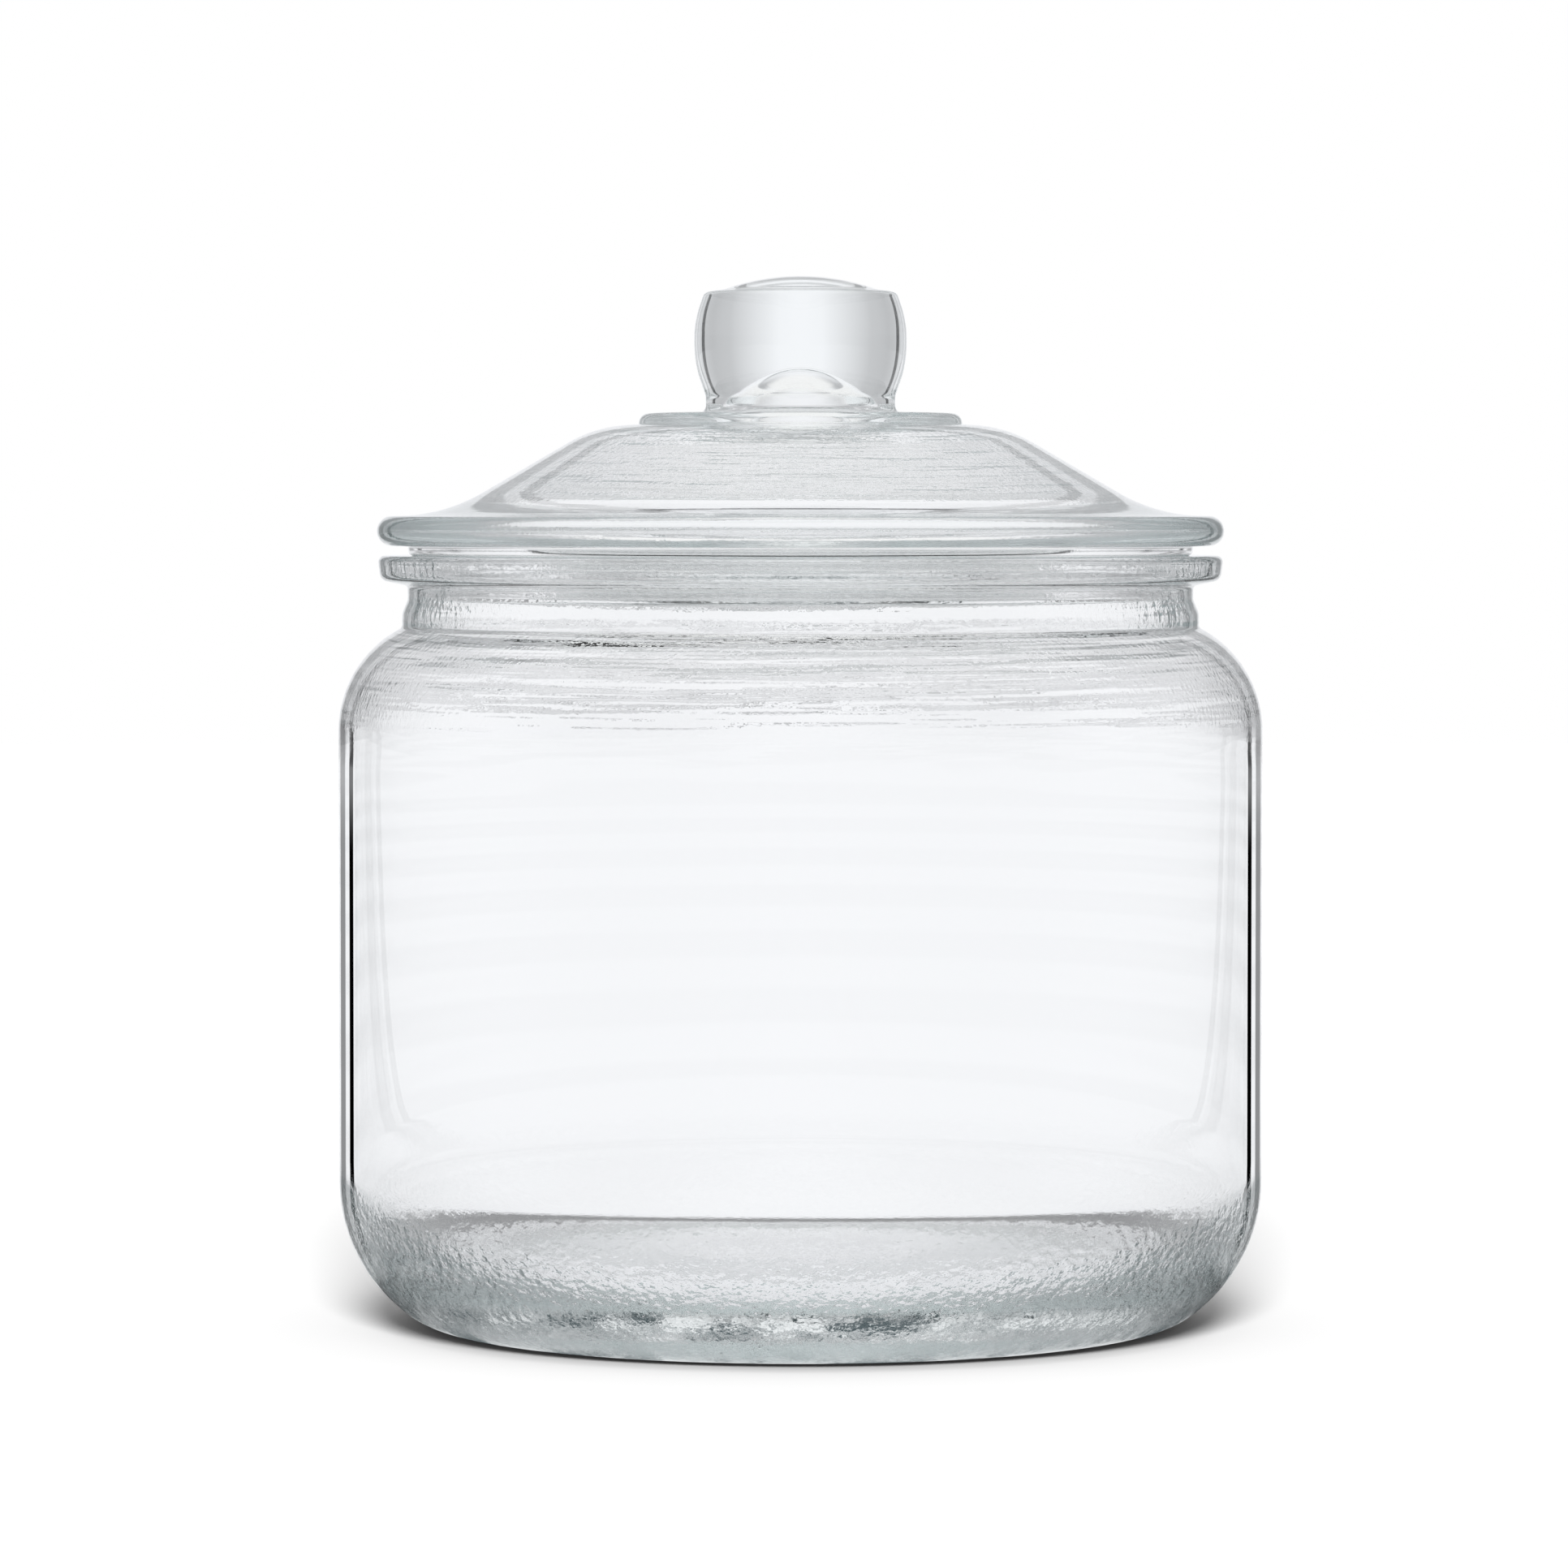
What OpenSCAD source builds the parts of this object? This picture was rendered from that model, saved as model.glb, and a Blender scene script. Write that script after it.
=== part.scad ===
// Lidded glass canister: a jar with a short neck and a flat rim, a domed lid with a solid knob,
// and the soft finned ring that seals the lid in the jar's mouth.
// Every piece is a body of revolution about Z. The jar stands on z = 0.

/* [Jar body] */
// Outer diameter of the straight wall
body_d = 160; // [146:1:172]
// Height from the table to the top of the rim
jar_h = 133.3; // [110:0.1:170]
// Thickness of the straight wall
body_wall = 2.7; // [2:0.1:3.6]
// Radius of the rounded shoulder, on the outside
shoulder_r = 20; // [17.5:0.1:23]
// Height of the inside floor above the table
floor_h = 7.5; // [6:0.1:10]
// Radius of the corner inside the base
well_r = 19; // [14:1:22]

/* [Base] */
// How far the foot's corner is set in from the wall
slope_run = 14.1; // [11:0.1:17]
// Height at which the slope under the wall ends
slope_rise = 12.7; // [10:0.1:15]
// Radius between the wall and the slope
corner_r = 27.7; // [18:0.1:30]
// Radius between the slope and the foot
heel_r = 13.6; // [8:0.1:16]
// Width of the foot, from its corner to the hollow under the base
foot_w = 12; // [9:0.1:16]
// Height of the hollow under the base
push_up = 2.5; // [1:0.1:3.5]
// Width of the sloping edge of that hollow
push_run = 9; // [5:0.5:14]

/* [Neck and rim] */
// Diameter of the mouth's bore
mouth_d = 129.4; // [126:0.1:131]
// Outer diameter of the neck under the rim
neck_d = 136; // [134.4:0.1:139]
// How much the neck widens on each side towards the shoulder
neck_flare = 1; // [0.4:0.1:2]
// Height of the neck, from the crease of the shoulder to the rim
neck_h = 8.2; // [7:0.1:12]
// Height of the straight band at the top of the neck
neck_band_h = 3.4; // [2.4:0.1:4.6]
// Outer diameter of the rim
rim_d = 146.4; // [143:0.1:150]
// Thickness of the rim at its edge
rim_t = 4.2; // [3.6:0.1:6]
// How far the rim's underside drops towards the neck
rim_drop = 1; // [0.2:0.1:1.6]
// How much smaller in radius the rim is at its lower edge
rim_draft = 0.5; // [0:0.1:0.9]

/* [Lid] */
// Outer diameter of the rounded bead at the lid's edge
lid_d = 146.6; // [143:0.1:150]
// Thickness of the bead
bead_t = 5.15; // [4.4:0.05:6]
// Thickness of the domed wall
lid_wall = 3.6; // [2.8:0.1:4.4]
// Height of the dome, from the bead's underside to the flat top
dome_h = 20.9; // [17:0.1:26]
// Diameter at which the dome starts to rise from the flange
dome_foot_d = 124; // [118:0.5:127]
// Diameter at which the dome turns flat
crown_d = 70; // [64:0.5:76]
// Radius of the hollow bend at the dome's foot
foot_bend_r = 30; // [12:0.5:34]
// Radius of the round bend at the dome's crown
crown_bend_r = 22; // [12:0.5:28]
// Outer diameter of the plug that goes into the mouth
plug_d = 120; // [117:0.1:121]
// Length of the plug below the flange
plug_h = 12; // [10:0.1:16]
// Thickness of the plug's wall
plug_wall = 3.8; // [3:0.1:4.6]
// How much smaller in radius the plug is at its lower end
plug_draft = 0.3; // [0:0.1:0.6]

/* [Knob] */
// Diameter of the raised disc under the knob
disc_d = 56; // [48:0.5:60]
// Height of the raised disc
disc_h = 2; // [1.4:0.1:3]
// Height of the knob above the disc
knob_h = 23.7; // [20:0.1:30]
// Largest diameter of the knob
knob_d = 36.8; // [35.4:0.1:42]
// Diameter of the knob's neck
knob_neck_d = 32.8; // [29:0.1:34]
// Diameter at the knob's upper corner
knob_top_d = 33.4; // [30:0.1:35]
// Height above the disc at which the neck starts to swell
neck_swell_h = 3; // [2.4:0.1:4]
// Height above the disc at which the swell reaches the belly
belly_low_h = 8.6; // [7:0.1:10]
// Depth below the knob's crown at which the belly starts to close
belly_top_depth = 7.8; // [6:0.1:9.5]
// Diameter of the shallow crown on the knob
cap_d = 26.6; // [22:0.1:29]
// Height of that crown
cap_h = 2.3; // [1.2:0.1:3]
// Depth of the hollow that rises into the knob
punch_h = 14.8; // [10:0.1:17]
// Diameter of the hollow's mouth
punch_mouth_d = 22; // [18:0.1:24]
// Diameter at which the hollow's wall would meet its top
punch_top_d = 12.8; // [11:0.1:14]

/* [Seal ring] */
// Thickness of the flange between lid and rim
seal_t = 1.7; // [1:0.1:2.6]
// Outer diameter of that flange
seal_d = 136.3; // [132:0.1:140]
// How much smaller in radius the flange is at its underside
seal_edge_run = 0.3; // [0:0.1:0.8]
// Wall of the sleeve round the plug
sleeve_t = 2; // [1.2:0.1:2.4]
// Length of the sleeve below the rim's top
sleeve_h = 8.5; // [7.6:0.1:10]
// Number of fins round the sleeve
fin_count = 3; // [2:1:3]
// Distance from one fin to the next
fin_pitch = 2.5; // [2.1:0.1:2.7]
// Thickness of a fin at its root
fin_t = 0.9; // [0.6:0.1:1.2]
// How far a fin rises towards its tip
fin_rise = 0.7; // [0.3:0.1:1]

/* [Fits] */
// Clearance between the plug and the sleeve round it
plug_clearance = 0.15; // [0.05:0.05:0.4]
// Clearance between the fins and the mouth's bore
bore_clearance = 0.3; // [0.2:0.05:0.6]

/* [Hidden] */

glass_tint = [0.84, 0.91, 0.90, 0.5];
seal_tint = [0.93, 0.94, 0.94, 0.85];

turn_fn = 180;      // sides of a full turn
arc_step = 6;       // largest turn, in degrees, between two points of a profile's arc

body_r = body_d / 2;
inner_r = body_r - body_wall;
mouth_r = mouth_d / 2;
neck_r = neck_d / 2;
crease_r = neck_r + neck_flare;
rim_r = rim_d / 2;
rim_low_z = jar_h - rim_t;
band_low_z = rim_low_z - neck_band_h;
crease_z = rim_low_z - neck_h;

// Centre of the shoulder's arc: the arc leaves the wall upright and ends at the crease
shoulder_c_r = body_r - shoulder_r;
shoulder_c_z = crease_z - sqrt(pow(shoulder_r, 2) - pow(crease_r - shoulder_c_r, 2));
shoulder_in_r = shoulder_r - body_wall;

lid_r = lid_d / 2;
bead_r = bead_t / 2;
plug_r = plug_d / 2;
plug_in_r = plug_r - plug_wall;
dome_foot_r = dome_foot_d / 2;
crown_r = crown_d / 2;
ceiling_z = dome_h - lid_wall;
disc_r = disc_d / 2;
disc_z = dome_h + disc_h;
knob_r = knob_d / 2;
cap_r = cap_d / 2;
cap_z = disc_z + knob_h - cap_h;

// Slope of the dome's straight flank, as rise over run, and the same flank moved in by the wall
flank = (dome_h - bead_t) / (dome_foot_r - crown_r);
flank_drop = lid_wall * sqrt(1 + pow(flank, 2));
function flank_in_z(r) = bead_t - flank_drop + (dome_foot_r - r) * flank;
function flank_in_r(z) = dome_foot_r - (z - bead_t + flank_drop) / flank;

sleeve_in_r = plug_r + plug_clearance;
sleeve_r = sleeve_in_r + sleeve_t;
fin_tip_r = mouth_r - bore_clearance;

// Small edge radii of pressed glass and moulded rubber
foot_edge_r = 1.5;
push_bend_r = 30;
crease_fillet = 0.8;
flare_bend_r = 3;
band_bend_r = 1.5;
neck_fillet = 0.8;
rim_low_edge_r = 1.6;
rim_top_edge_r = 1.1;
mouth_edge_r = 1.2;
ridge_r = 2;
plug_root_r = 0.8;
plug_end_r = 1.5;
plug_bend_r = 5;
disc_edge_r = 1.9;
knob_fillet = 1.5;
waist_bend_r = 3;
belly_low_bend_r = 21;
belly_top_bend_r = 17.5;
knob_edge_r = 1.3;
knob_edge_drop = 0.5;   // fall of the knob's top from its crown's rim to its corner
punch_bend_r = 8.6;
punch_flare_r = 6;
seal_edge_r = 0.4;
seal_low_edge_r = 0.9;
seal_root_r = 1;
sleeve_end_r = 0.5;
fin_tip_t = 0.5;

// Points along an arc, from one angle to another
function arc(centre, r, from, to) =
    let (n = max(1, ceil(abs(to - from) / arc_step)))
    [for (i = [0 : n]) let (a = from + (to - from) * i / n) centre + r * [cos(a), sin(a)]];

// A path is a list of [r, z] or [r, z, radius]: the radius rounds that corner with an arc.
function at(p) = [p[0], p[1]];
function radius_of(p) = len(p) > 2 ? p[2] : 0;
function unit(v) = v / norm(v);
function half_angle(path, i) =
    acos(unit(at(path[i - 1]) - at(path[i])) * unit(at(path[i + 1]) - at(path[i]))) / 2;
// How far along its edges a corner's arc reaches
function reach(path, i) =
    i <= 0 || i >= len(path) - 1 || radius_of(path[i]) == 0 ? 0
    : radius_of(path[i]) / tan(half_angle(path, i));
// Share of its radius that a corner keeps, so that two neighbouring arcs fit on the edge between them
function share(path, i) =
    let (before = norm(at(path[i]) - at(path[i - 1])), after = norm(at(path[i + 1]) - at(path[i])))
    min(1, before / (reach(path, i - 1) + reach(path, i)), after / (reach(path, i) + reach(path, i + 1)));
function corner_arc(path, i) =
    let (
        p = at(path[i]), u = unit(at(path[i - 1]) - p), v = unit(at(path[i + 1]) - p),
        half = half_angle(path, i), r = radius_of(path[i]) * share(path, i),
        centre = p + unit(u + v) * r / sin(half), start = p + u * r / tan(half) - centre,
        first = atan2(start[1], start[0]), side = u[0] * v[1] - u[1] * v[0] > 0 ? -1 : 1
    )
    arc(centre, r, first, first + side * (180 - 2 * half));
function rounded(path) =
    [for (i = [0 : len(path) - 1]) each (reach(path, i) == 0 ? [at(path[i])] : corner_arc(path, i))];

// Solid of revolution of a profile
module turned(path) {
    rotate_extrude($fn = turn_fn) polygon(rounded(path));
}

// Where an arc of radius r touches both the shoulder's arc of radius big and the upright line at x
function touch_centre(x, r, big) =
    [x + r, shoulder_c_z + sqrt(pow(big + r, 2) - pow(x + r - shoulder_c_r, 2))];
function touch_angle(c) = atan2(c[1] - shoulder_c_z, c[0] - shoulder_c_r);

module glass_jar() {
    shoulder_c = [shoulder_c_r, shoulder_c_z];
    crease_c = touch_centre(crease_r, crease_fillet, shoulder_r);
    ridge_c = touch_centre(mouth_r, ridge_r, shoulder_in_r);
    hollow_r = body_r - slope_run - foot_w;
    underside = [
        [0, push_up],
        [hollow_r - push_run, push_up, push_bend_r],
        [hollow_r, 0, foot_edge_r],
        [body_r - slope_run, 0, heel_r],
        [body_r, slope_rise, corner_r]
    ];
    shoulder_out = concat(
        arc(shoulder_c, shoulder_r, 0, touch_angle(crease_c)),
        arc(crease_c, crease_fillet, 180 + touch_angle(crease_c), 180)
    );
    neck_and_rim = [
        [crease_r, (band_low_z + crease_z) / 2, flare_bend_r],
        [neck_r, band_low_z, band_bend_r],
        [neck_r, rim_low_z - rim_drop, neck_fillet],
        [rim_r - rim_draft, rim_low_z, rim_low_edge_r],
        [rim_r, jar_h, rim_top_edge_r],
        [mouth_r, jar_h, mouth_edge_r]
    ];
    shoulder_in = concat(
        arc(ridge_c, ridge_r, 180, 180 + touch_angle(ridge_c)),
        arc(shoulder_c, shoulder_in_r, touch_angle(ridge_c), 0)
    );
    well = [
        [inner_r, floor_h, well_r],
        [0, floor_h]
    ];
    color(glass_tint) turned(concat(underside, shoulder_out, neck_and_rim, shoulder_in, well));
}

module glass_lid() {
    hollow = [
        [0, ceiling_z + punch_h],
        [punch_top_d / 2, ceiling_z + punch_h, punch_bend_r],
        [punch_mouth_d / 2, ceiling_z, punch_flare_r],
        [flank_in_r(ceiling_z), ceiling_z, crown_bend_r - lid_wall],
        [plug_in_r, flank_in_z(plug_in_r), plug_bend_r]
    ];
    plug = [
        [plug_in_r, -plug_h, plug_end_r],
        [plug_r - plug_draft, -plug_h, plug_end_r],
        [plug_r, 0, plug_root_r]
    ];
    bead = [
        [lid_r, 0, bead_r],
        [lid_r, bead_t, bead_r]
    ];
    dome = [
        [dome_foot_r, bead_t, foot_bend_r],
        [crown_r, dome_h, crown_bend_r],
        [disc_r, dome_h],
        [disc_r, disc_z, disc_edge_r]
    ];
    knob = [
        [knob_neck_d / 2, disc_z, knob_fillet],
        [knob_neck_d / 2, disc_z + neck_swell_h, waist_bend_r],
        [knob_r, disc_z + belly_low_h, belly_low_bend_r],
        [knob_r, disc_z + knob_h - belly_top_depth, belly_top_bend_r],
        [knob_top_d / 2, cap_z - knob_edge_drop, knob_edge_r]
    ];
    cap_sphere_r = (pow(cap_r, 2) + pow(cap_h, 2)) / (2 * cap_h);
    cap = arc([0, cap_z + cap_h - cap_sphere_r], cap_sphere_r, acos(cap_r / cap_sphere_r), 90);
    translate([0, 0, jar_h + seal_t])
        color(glass_tint) turned(concat(hollow, plug, bead, dome, knob, cap));
}

module seal_ring() {
    sleeve_end_in_r = sleeve_in_r - plug_draft * (sleeve_h + seal_t) / plug_h;
    flange = [
        [sleeve_end_in_r, -sleeve_h + sleeve_end_r],
        [sleeve_in_r, seal_t, seal_root_r],
        [seal_d / 2, seal_t, seal_edge_r],
        [seal_d / 2 - seal_edge_run, 0, seal_low_edge_r],
        [sleeve_r, 0]
    ];
    fins = [
        for (i = [1 : fin_count]) let (root = -i * fin_pitch) each [
            [sleeve_r, root + fin_t / 2],
            [fin_tip_r, root + fin_rise + fin_tip_t / 2],
            [fin_tip_r, root + fin_rise - fin_tip_t / 2],
            [sleeve_r, root - fin_t / 2]
        ]
    ];
    sleeve_end = [
        [sleeve_r - sleeve_end_r, -sleeve_h],
        [sleeve_end_in_r + sleeve_end_r, -sleeve_h]
    ];
    translate([0, 0, jar_h]) color(seal_tint) turned(concat(flange, fins, sleeve_end));
}

glass_jar();
seal_ring();
glass_lid();
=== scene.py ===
"""Lidded glass canister: a clear jar, a domed glass lid with a solid knob, and a soft finned seal ring."""
import math

import bpy
import numpy as np
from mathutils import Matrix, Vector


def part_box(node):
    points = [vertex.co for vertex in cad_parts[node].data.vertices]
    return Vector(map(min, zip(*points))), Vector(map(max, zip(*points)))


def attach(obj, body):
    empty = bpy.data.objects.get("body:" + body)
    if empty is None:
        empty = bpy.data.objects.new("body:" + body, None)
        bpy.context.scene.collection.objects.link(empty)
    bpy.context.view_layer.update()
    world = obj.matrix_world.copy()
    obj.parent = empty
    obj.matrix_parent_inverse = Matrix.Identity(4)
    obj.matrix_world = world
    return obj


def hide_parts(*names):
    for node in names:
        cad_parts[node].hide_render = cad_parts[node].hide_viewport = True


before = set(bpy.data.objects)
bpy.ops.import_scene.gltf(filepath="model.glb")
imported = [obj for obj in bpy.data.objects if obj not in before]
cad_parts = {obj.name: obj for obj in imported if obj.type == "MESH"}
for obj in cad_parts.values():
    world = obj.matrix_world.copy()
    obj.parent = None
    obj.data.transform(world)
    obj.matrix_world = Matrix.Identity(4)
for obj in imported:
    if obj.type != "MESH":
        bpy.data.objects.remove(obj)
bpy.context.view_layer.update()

MM = 0.001  # profiles are in millimetres, meshes in metres

# ---------------------------------------------------------------- sizes taken from the frame
JAR_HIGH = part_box("glass_jar")[1]
SEAL_LOW, SEAL_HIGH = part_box("seal_ring")
LID_LOW, LID_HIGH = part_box("glass_lid")
BODY_R = JAR_HIGH.y / MM
JAR_H = JAR_HIGH.z / MM
LID_SEAT = SEAL_HIGH.z / MM
LID_R = LID_HIGH.y / MM
LID_TOP = (LID_HIGH.z - SEAL_HIGH.z) / MM
PLUG_H = (SEAL_HIGH.z - LID_LOW.z) / MM
SLEEVE_H = (JAR_HIGH.z - SEAL_LOW.z) / MM
SEAL_T = (SEAL_HIGH.z - JAR_HIGH.z) / MM
SEAL_R = SEAL_HIGH.y / MM

# ---------------------------------------------------------------- sizes that those boxes don't give, in mm
PLUG_R = 60.0
PLUG_DRAFT = 0.3    # how much narrower the plug is at its foot
RIM_T = 4.2         # thickness of the jar's rim
SHOULDER_R = 20.0   # outside radius of the jar's shoulder
DOME_H = 20.9       # from the lid's seat to the flat top of its dome
DOME_FOOT_R = 62.0  # where the dome rises from the bead
BEAD_T = 5.15

# ---------------------------------------------------------------- profiles
ARC_STEP = 9.0   # largest turn between two rows, in degrees
ARC_CHORD = 0.8  # largest distance between two rows of an arc, in mm
ROW_STEP = 3.0   # largest distance between two rows of a straight stretch, in mm
COLUMNS = 288    # columns round the axis


def arc(centre, radius, start, end):
    """Points centre + radius * (cos a, sin a), with a going evenly from start to end, in degrees."""
    step = min(ARC_STEP, math.degrees(ARC_CHORD / radius))
    count = max(2, math.ceil(abs(end - start) / step))
    a = np.radians(np.linspace(start, end, count + 1))
    return [(centre[0] + radius * c, centre[1] + radius * s) for c, s in zip(np.cos(a), np.sin(a))]


def rounded(path):
    """A path of (r, z) or (r, z, radius) corners as plain points. A corner with a radius becomes the arc that
    touches both its edges: its centre lies on the bisector at radius / sin(half the corner's angle), and the
    arc reaches radius / tan(half the angle) along each edge. Two arcs that don't fit on an edge share it."""
    spots = [np.array(p[:2], float) for p in path]
    radii = [p[2] if len(p) > 2 else 0.0 for p in path]
    edges = [np.linalg.norm(b - a) for a, b in zip(spots, spots[1:])]
    halves, reaches = [], []
    for i, p in enumerate(spots):
        if radii[i] and 0 < i < len(spots) - 1:
            u = (spots[i - 1] - p) / edges[i - 1]
            v = (spots[i + 1] - p) / edges[i]
            halves.append(math.acos(np.clip(u @ v, -1, 1)) / 2)
            reaches.append(radii[i] / math.tan(halves[i]))
        else:
            halves.append(0.0)
            reaches.append(0.0)
    points = []
    for i, p in enumerate(spots):
        if not reaches[i]:
            points.append(tuple(p))
            continue
        before = edges[i - 1] / (reaches[i - 1] + reaches[i])
        behind = edges[i] / (reaches[i] + reaches[i + 1])
        share = min(1.0, before, behind)
        u = (spots[i - 1] - p) / edges[i - 1]
        v = (spots[i + 1] - p) / edges[i]
        radius = radii[i] * share
        middle = p + (u + v) / np.linalg.norm(u + v) * radius / math.sin(halves[i])
        start = p + u * reaches[i] * share - middle
        first = math.degrees(math.atan2(start[1], start[0]))
        side = -1 if u[0] * v[1] - u[1] * v[0] > 0 else 1
        points += arc(middle, radius, first, first + side * (180 - 2 * math.degrees(halves[i])))
    return points


def refined(points):
    """The same path with extra points, evenly spaced, on every stretch longer than ROW_STEP."""
    fine = [points[0]]
    for a, b in zip(points, points[1:]):
        length = math.dist(a, b)
        if length < 1e-6:
            continue
        count = max(1, math.ceil(length / ROW_STEP))
        fine += [tuple(np.array(a) + (np.array(b) - np.array(a)) * k / count) for k in range(1, count + 1)]
    return np.array(fine)


def touching_centre(x, radius, big, pivot):
    """Centre of an arc that touches the upright line at x and, from outside, the circle of radius big."""
    return x + radius, pivot[1] + math.sqrt((big + radius) ** 2 - (x + radius - pivot[0]) ** 2)


def bearing(centre, pivot):
    """Direction from the pivot to the centre, in degrees."""
    return math.degrees(math.atan2(centre[1] - pivot[1], centre[0] - pivot[0]))


def jar_profile():
    """Half section of the jar, from the middle of its underside round the rim to the middle of its floor."""
    wall = 2.7
    floor_z = 7.5
    foot_r = BODY_R - 14.1
    hollow_r = BODY_R - 26.1
    hollow_top = 2.5
    hollow_run = 9
    slope_rise = 12.7
    mouth = 64.7
    neck = 68.0
    rim = 73.2
    crease = 69.0
    ridge = 2.0
    fillet = 0.8
    rim_low = JAR_H - RIM_T
    crease_z = rim_low - 8.2
    band_low = rim_low - 3.4
    pivot_r = BODY_R - SHOULDER_R
    pivot = (pivot_r, crease_z - math.sqrt(SHOULDER_R ** 2 - (crease - pivot_r) ** 2))
    crease_c = touching_centre(crease, fillet, SHOULDER_R, pivot)
    ridge_c = touching_centre(mouth, ridge, SHOULDER_R - wall, pivot)
    underside = [(0, hollow_top), (hollow_r - hollow_run, hollow_top, 30), (hollow_r, 0, 1.5),
                 (foot_r, 0, 13.6), (BODY_R, slope_rise, 27.7)]
    out = arc(pivot, SHOULDER_R, 0, bearing(crease_c, pivot))
    out += arc(crease_c, fillet, 180 + bearing(crease_c, pivot), 180)
    rim_path = [(crease, (band_low + crease_z) / 2, 3), (neck, band_low, 1.5), (neck, rim_low - 1, 0.8),
                (rim - 0.5, rim_low, 1.6), (rim, JAR_H, 1.1), (mouth, JAR_H, 1.2)]
    back = arc(ridge_c, ridge, 180, 180 + bearing(ridge_c, pivot))
    back += arc(pivot, SHOULDER_R - wall, bearing(ridge_c, pivot), 0)
    well = [(BODY_R - wall, floor_z, 19), (0, floor_z)]
    return refined(rounded(underside + out + rim_path + back + well))


def lid_profile():
    """Half section of the lid, from the hollow in the knob round the plug and bead to the top of the knob."""
    wall = 3.6
    crown = 35.0
    plug_in = PLUG_R - 3.8
    ceiling = DOME_H - wall
    disc = 28.0
    disc_z = DOME_H + 2
    slope = (DOME_H - BEAD_T) / (DOME_FOOT_R - crown)
    drop = wall * math.hypot(1, slope)
    inner_z = BEAD_T - drop + (DOME_FOOT_R - plug_in) * slope
    inner_r = DOME_FOOT_R - (ceiling - BEAD_T + drop) / slope
    neck = 16.4
    belly = 18.4
    cap_r = 13.3
    cap_h = 2.3
    cap_z = LID_TOP - cap_h
    ball = (cap_r ** 2 + cap_h ** 2) / (2 * cap_h)
    hollow_z = ceiling + 14.8
    hollow = [(0, hollow_z), (6.4, hollow_z, 8.6), (11, ceiling, 6), (inner_r, ceiling, 18.4),
              (plug_in, inner_z, 5)]
    skirt = [(plug_in, -PLUG_H, 1.5), (PLUG_R - PLUG_DRAFT, -PLUG_H, 1.5), (PLUG_R, 0, 0.8)]
    flange = [(LID_R, 0, BEAD_T / 2), (LID_R, BEAD_T, BEAD_T / 2), (DOME_FOOT_R, BEAD_T, 30),
              (crown, DOME_H, 22)]
    boss = [(disc, DOME_H, 0.35), (disc, disc_z, 1.9), (neck, disc_z, 1.5), (neck, disc_z + 3, 3),
            (belly, disc_z + 8.6, 21), (belly, LID_TOP - 7.8, 17.5), (16.7, cap_z - 0.5, 1.3)]
    cap = arc((0, LID_TOP - ball), ball, math.degrees(math.acos(cap_r / ball)), 90)
    path = refined(rounded(hollow + skirt + flange + boss + cap))
    path[:, 1] += LID_SEAT
    return path


def seal_profile():
    """Closed half section of the seal ring: flange, sleeve and fins that taper and rise to their tips."""
    gap = 0.15
    inner = PLUG_R + gap
    sleeve = inner + 2.0
    low = inner - PLUG_DRAFT * (SLEEVE_H + SEAL_T) / PLUG_H
    tip = 64.4
    fin_half = 0.45
    fin_rise = 0.95
    path = [(low, -SLEEVE_H / 2), (inner, SEAL_T, 1.0), (SEAL_R, SEAL_T, 0.4), (SEAL_R - 0.3, 0, 0.9),
            (sleeve, 0, 0.3)]
    for i in (1, 2, 3):
        root = -2.5 * i
        path += [(sleeve, root + fin_half, 0.2), (tip, root + fin_rise, 0.2), (tip, root + fin_half, 0.2),
                 (sleeve, root - fin_half, 0.2)]
    path += [(sleeve, -SLEEVE_H, 0.5), (low, -SLEEVE_H, 0.5), (low, -SLEEVE_H / 2)]
    points = refined(rounded(path))
    points[:, 1] += JAR_H
    return points


# ---------------------------------------------------------------- surfaces
def outward_normals(path, closed):
    """Unit normals of a path in its own plane, on the right of its direction, from the chord of the two
    neighbours of each point."""
    if closed:
        ring = path[:-1]
        along = np.roll(ring, -1, 0) - np.roll(ring, 1, 0)
        along = np.vstack([along, along[:1]])
    else:
        along = np.gradient(path, axis=0)
    along /= np.linalg.norm(along, axis=1)[:, None]
    return np.stack([along[:, 1], -along[:, 0]], axis=1)


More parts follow.
